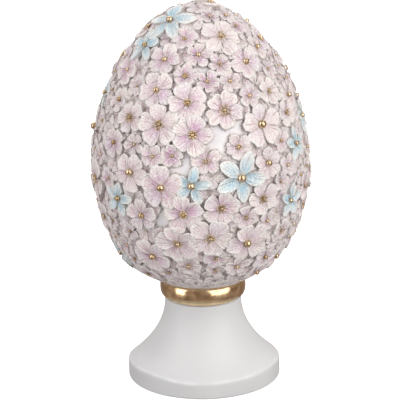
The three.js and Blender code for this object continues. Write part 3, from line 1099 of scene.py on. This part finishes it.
def stand_material():
    """Satin white, with painted shade a little darker on the band and a painted highlight along
    its upper edge.
    """
    material, tree, shader = new_material("stand_white", 0.42)
    (near_edge, band, _), _ = surface_marks(tree)
    color = ramp(tree, noise(tree, 22, 3), [
        (0.35, (0.655, 0.655, 0.66)), (0.65, (0.70, 0.70, 0.702))])
    # Painted shade: the band, which faces sideways, is darkened
    band_shade_color = multiply_colors(tree, color, (0.93, 0.925, 0.925))
    color = mix_colors(tree, band, color, band_shade_color)
    # Painted highlight: a soft lighter line along the foot's upper edge
    painted_highlight = ramp(tree, noise(tree, 130, 2), [(0.35, grey(0.1)), (0.6, grey(0.65))])
    painted_highlight = math_node(tree, "MULTIPLY", near_edge, painted_highlight)
    color = mix_colors(tree, painted_highlight, color, grey(0.82))
    tree.links.new(color, shader.inputs["Base Color"])
    level = ramp(tree, noise(tree, 160, 2), [(0.3, grey(0.38)), (0.7, grey(0.5))])
    tree.links.new(level, shader.inputs["Roughness"])
    bump(tree, shader, noise(tree, 70, 3), 0.15, 0.0005)
    return material


def crevice_painted_shade(points, rims):
    """How deep in a crevice each ground point is, from 0 in the open to 1 beside a petal: the
    strength of its painted shade.
    """
    tree = kdtree.KDTree(len(rims))
    for i, point in enumerate(rims):
        tree.insert(point, i)
    tree.balance()
    gaps = np.array([tree.find(point)[2] for point in points])
    return np.exp(-(gaps / CREVICE_SHADE_WIDTH) ** 2)


def make_ground(rims, material):
    """The egg's own surface under the flowers, flat underneath where it rests."""
    low = np.interp(EGG_SEAT - EGG_WAIST, TABLE_HEIGHT, TABLE_ANGLE)
    points = [(0, 0, EGG_SEAT)]
    for angle in np.linspace(low, math.pi / 2, GROUND_ROWS)[:-1]:
        radius = np.interp(angle, TABLE_ANGLE, TABLE_RADIUS)
        height = EGG_WAIST + np.interp(angle, TABLE_ANGLE, TABLE_HEIGHT)
        points += ring_points(radius, height, GROUND_AROUND)
    points.append((0, 0, EGG_WAIST + EGG_RISE))
    points = np.array(points)
    # Painted shade in the crevices beside the petals
    marks = crevice_painted_shade(points, rims)
    blank = np.zeros(len(points))
    values = np.column_stack([blank, blank, marks, blank, blank])
    parts = MeshParts()
    parts.add(points, ring_faces(GROUND_ROWS - 1, GROUND_AROUND), values)
    return parts.make("egg_ground", material)


def group_and_grid(flower):
    """The piece that a flower's petals belong to, and how finely they are divided."""
    large = flower["radius"] >= LARGE_FLOWER
    if flower["kind"] == "star":
        return "blue_stars", LARGE_GRID if large else SMALL_GRID
    if flower["centre"] == "none":
        return "tucked_blooms", TUCKED_GRID
    if not large:
        return "small_blooms", SMALL_GRID
    if flower["centre"] == "stamens":
        return "stamen_blooms", LARGE_GRID
    return "beaded_blooms", LARGE_GRID


def make_egg():
    random = np.random.default_rng(SEED)
    flowers = all_flowers(random)
    pale = petal_material(
        "petals_pink", PINK_TIPS, PINK_HEART, PINK_SPREAD, PINK_PAINTED_SHADE, PINK_EVENNESS)
    blue = petal_material(
        "petals_blue", BLUE_TIPS, BLUE_HEART, BLUE_SPREAD, BLUE_PAINTED_SHADE, BLUE_EVENNESS)
    gold = gold_material("flower_gold", *FLOWER_GOLD)
    names = ("beaded_blooms", "stamen_blooms", "small_blooms", "tucked_blooms", "blue_stars")
    groups = {name: MeshParts() for name in names}
    centres = MeshParts()
    rims = []
    for flower in flowers:
        group, grid = group_and_grid(flower)
        for index in range(PETALS):
            rims.append(add_petal(groups[group], flower, index, random, grid))
        add_centre(centres, flower, random)
    ground = make_ground(np.vstack(rims), ground_material())
    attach(ground, "root")
    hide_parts("flower_egg")
    for name, parts in groups.items():
        piece = parts.make(name, blue if name == "blue_stars" else pale)
        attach(piece, "root")
    hearts = centres.make("gilt_centres", gold)
    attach(hearts, "root")


def make_stand():
    stand = turned_mesh(
        "turned_stand", stand_outline(), stand_material(), hand_finish, painted_light_marks)
    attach(stand, "root")
    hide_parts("stand")
    gilt = gold_material("collar_gold", *COLLAR_GOLD)
    collar = turned_mesh("collar_ring", collar_outline(), gilt)
    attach(collar, "root")
    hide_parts("gold_collar")


def add_softbox(name, turn, rise, distance, width, height, power, color):
    """An area light facing the egg, at a turn right of the camera and a rise over the floor."""
    turn = math.radians(turn)
    rise = math.radians(rise)
    flat = math.cos(rise)
    way = Vector((math.sin(turn) * flat, -math.cos(turn) * flat, math.sin(rise)))
    light = bpy.data.lights.new(name, "AREA")
    light.shape = "RECTANGLE"
    light.size = width
    light.size_y = height
    light.energy = power
    light.color = color
    lamp = add_object(name, light)
    lamp.location = Vector(LIGHT_TARGET) + distance * way
    lamp.rotation_euler = way.to_track_quat("Z", "Y").to_euler()


def add_dark_wall():
    """The dim room round the lights, seen only in the gilt: a round wall without ends."""
    points = ring_points(ROOM_RADIUS, ROOM_LOW, ROOM_AROUND)
    points += ring_points(ROOM_RADIUS, ROOM_HIGH, ROOM_AROUND)
    faces = []
    for i in range(ROOM_AROUND):
        after = (i + 1) % ROOM_AROUND
        faces.append((i, after, ROOM_AROUND + after, ROOM_AROUND + i))
    mesh = bpy.data.meshes.new("dark_wall")
    mesh.from_pydata(points, [], faces)
    material, tree, shader = new_material("dark_wall", 1.0)
    shader.inputs["Base Color"].default_value = (0.02, 0.02, 0.02, 1)
    glow = ramp(tree, noise(tree, 1.2), [(0.35, (0.17, 0.13, 0.11)), (0.65, (0.38, 0.30, 0.26))])
    tree.links.new(glow, shader.inputs["Emission Color"])
    shader.inputs["Emission Strength"].default_value = 1
    mesh.materials.append(material)
    wall = add_object("dark_wall", mesh)
    wall.visible_camera = False
    wall.visible_diffuse = False
    wall.visible_shadow = False
    wall.visible_transmission = False


def add_floor():
    """A plain pale floor that neither lights the piece nor shows in its gloss."""
    mesh = bpy.data.meshes.new("floor")
    ends = (-FLOOR_HALF, FLOOR_HALF)
    corners = [(x, y, 0) for y in ends for x in ends]
    mesh.from_pydata(corners, [], [(0, 1, 3, 2)])
    material, tree, shader = new_material("floor_white", 0.8)
    color = ramp(tree, noise(tree, 3), [(0.3, grey(0.93)), (0.7, grey(0.94))])
    tree.links.new(color, shader.inputs["Base Color"])
    shader.inputs["Emission Color"].default_value = (1, 1, 1, 1)
    shader.inputs["Emission Strength"].default_value = FLOOR_GLOW
    mesh.materials.append(material)
    floor = add_object("floor", mesh)
    floor.visible_diffuse = False
    floor.visible_glossy = False


def make_sky():
    """Soft light from all round, a little stronger near the horizon."""
    world = bpy.data.worlds.new("studio")
    world.use_nodes = True
    tree = world.node_tree
    place = add_node(tree, "ShaderNodeTexCoord")
    split = add_node(tree, "ShaderNodeSeparateXYZ")
    tree.links.new(place.outputs["Generated"], split.inputs[0])
    rise = math_node(tree, "MULTIPLY_ADD", split.outputs["Z"], 0.5)
    rise.node.inputs[2].default_value = 0.5
    background = tree.nodes["Background"]
    tree.links.new(ramp(tree, rise, SKY), background.inputs["Color"])
    background.inputs["Strength"].default_value = SKY_STRENGTH
    bpy.context.scene.world = world


def make_studio():
    bpy.context.scene.view_settings.view_transform = "Standard"
    make_sky()
    for softbox in SOFTBOXES:
        add_softbox(*softbox)
    add_dark_wall()
    add_floor()


def make_camera():
    """The camera of the photograph, with the picture's middle moved by the lens shift."""
    right, up, back = view_axes()
    data = bpy.data.cameras.new("camera")
    data.sensor_width = SENSOR
    data.lens = VIEW_SCALE * VIEW_DISTANCE / PICTURE * SENSOR
    data.shift_x = -(VIEW_MIDDLE[0] - PICTURE / 2) / PICTURE
    data.shift_y = (VIEW_MIDDLE[1] - PICTURE / 2) / PICTURE
    camera = add_object("camera", data)
    turn = Matrix((right, up, back)).transposed()
    roll = Matrix.Rotation(math.radians(VIEW_LEAN), 3, "Z")
    place = Vector((0, 0, VIEW_TARGET * MM)) + Vector(back) * VIEW_DISTANCE * MM
    camera.matrix_world = Matrix.LocRotScale(place, (turn @ roll).to_quaternion(), None)
    bpy.context.scene.camera = camera


make_camera()
make_studio()
make_stand()
make_egg()
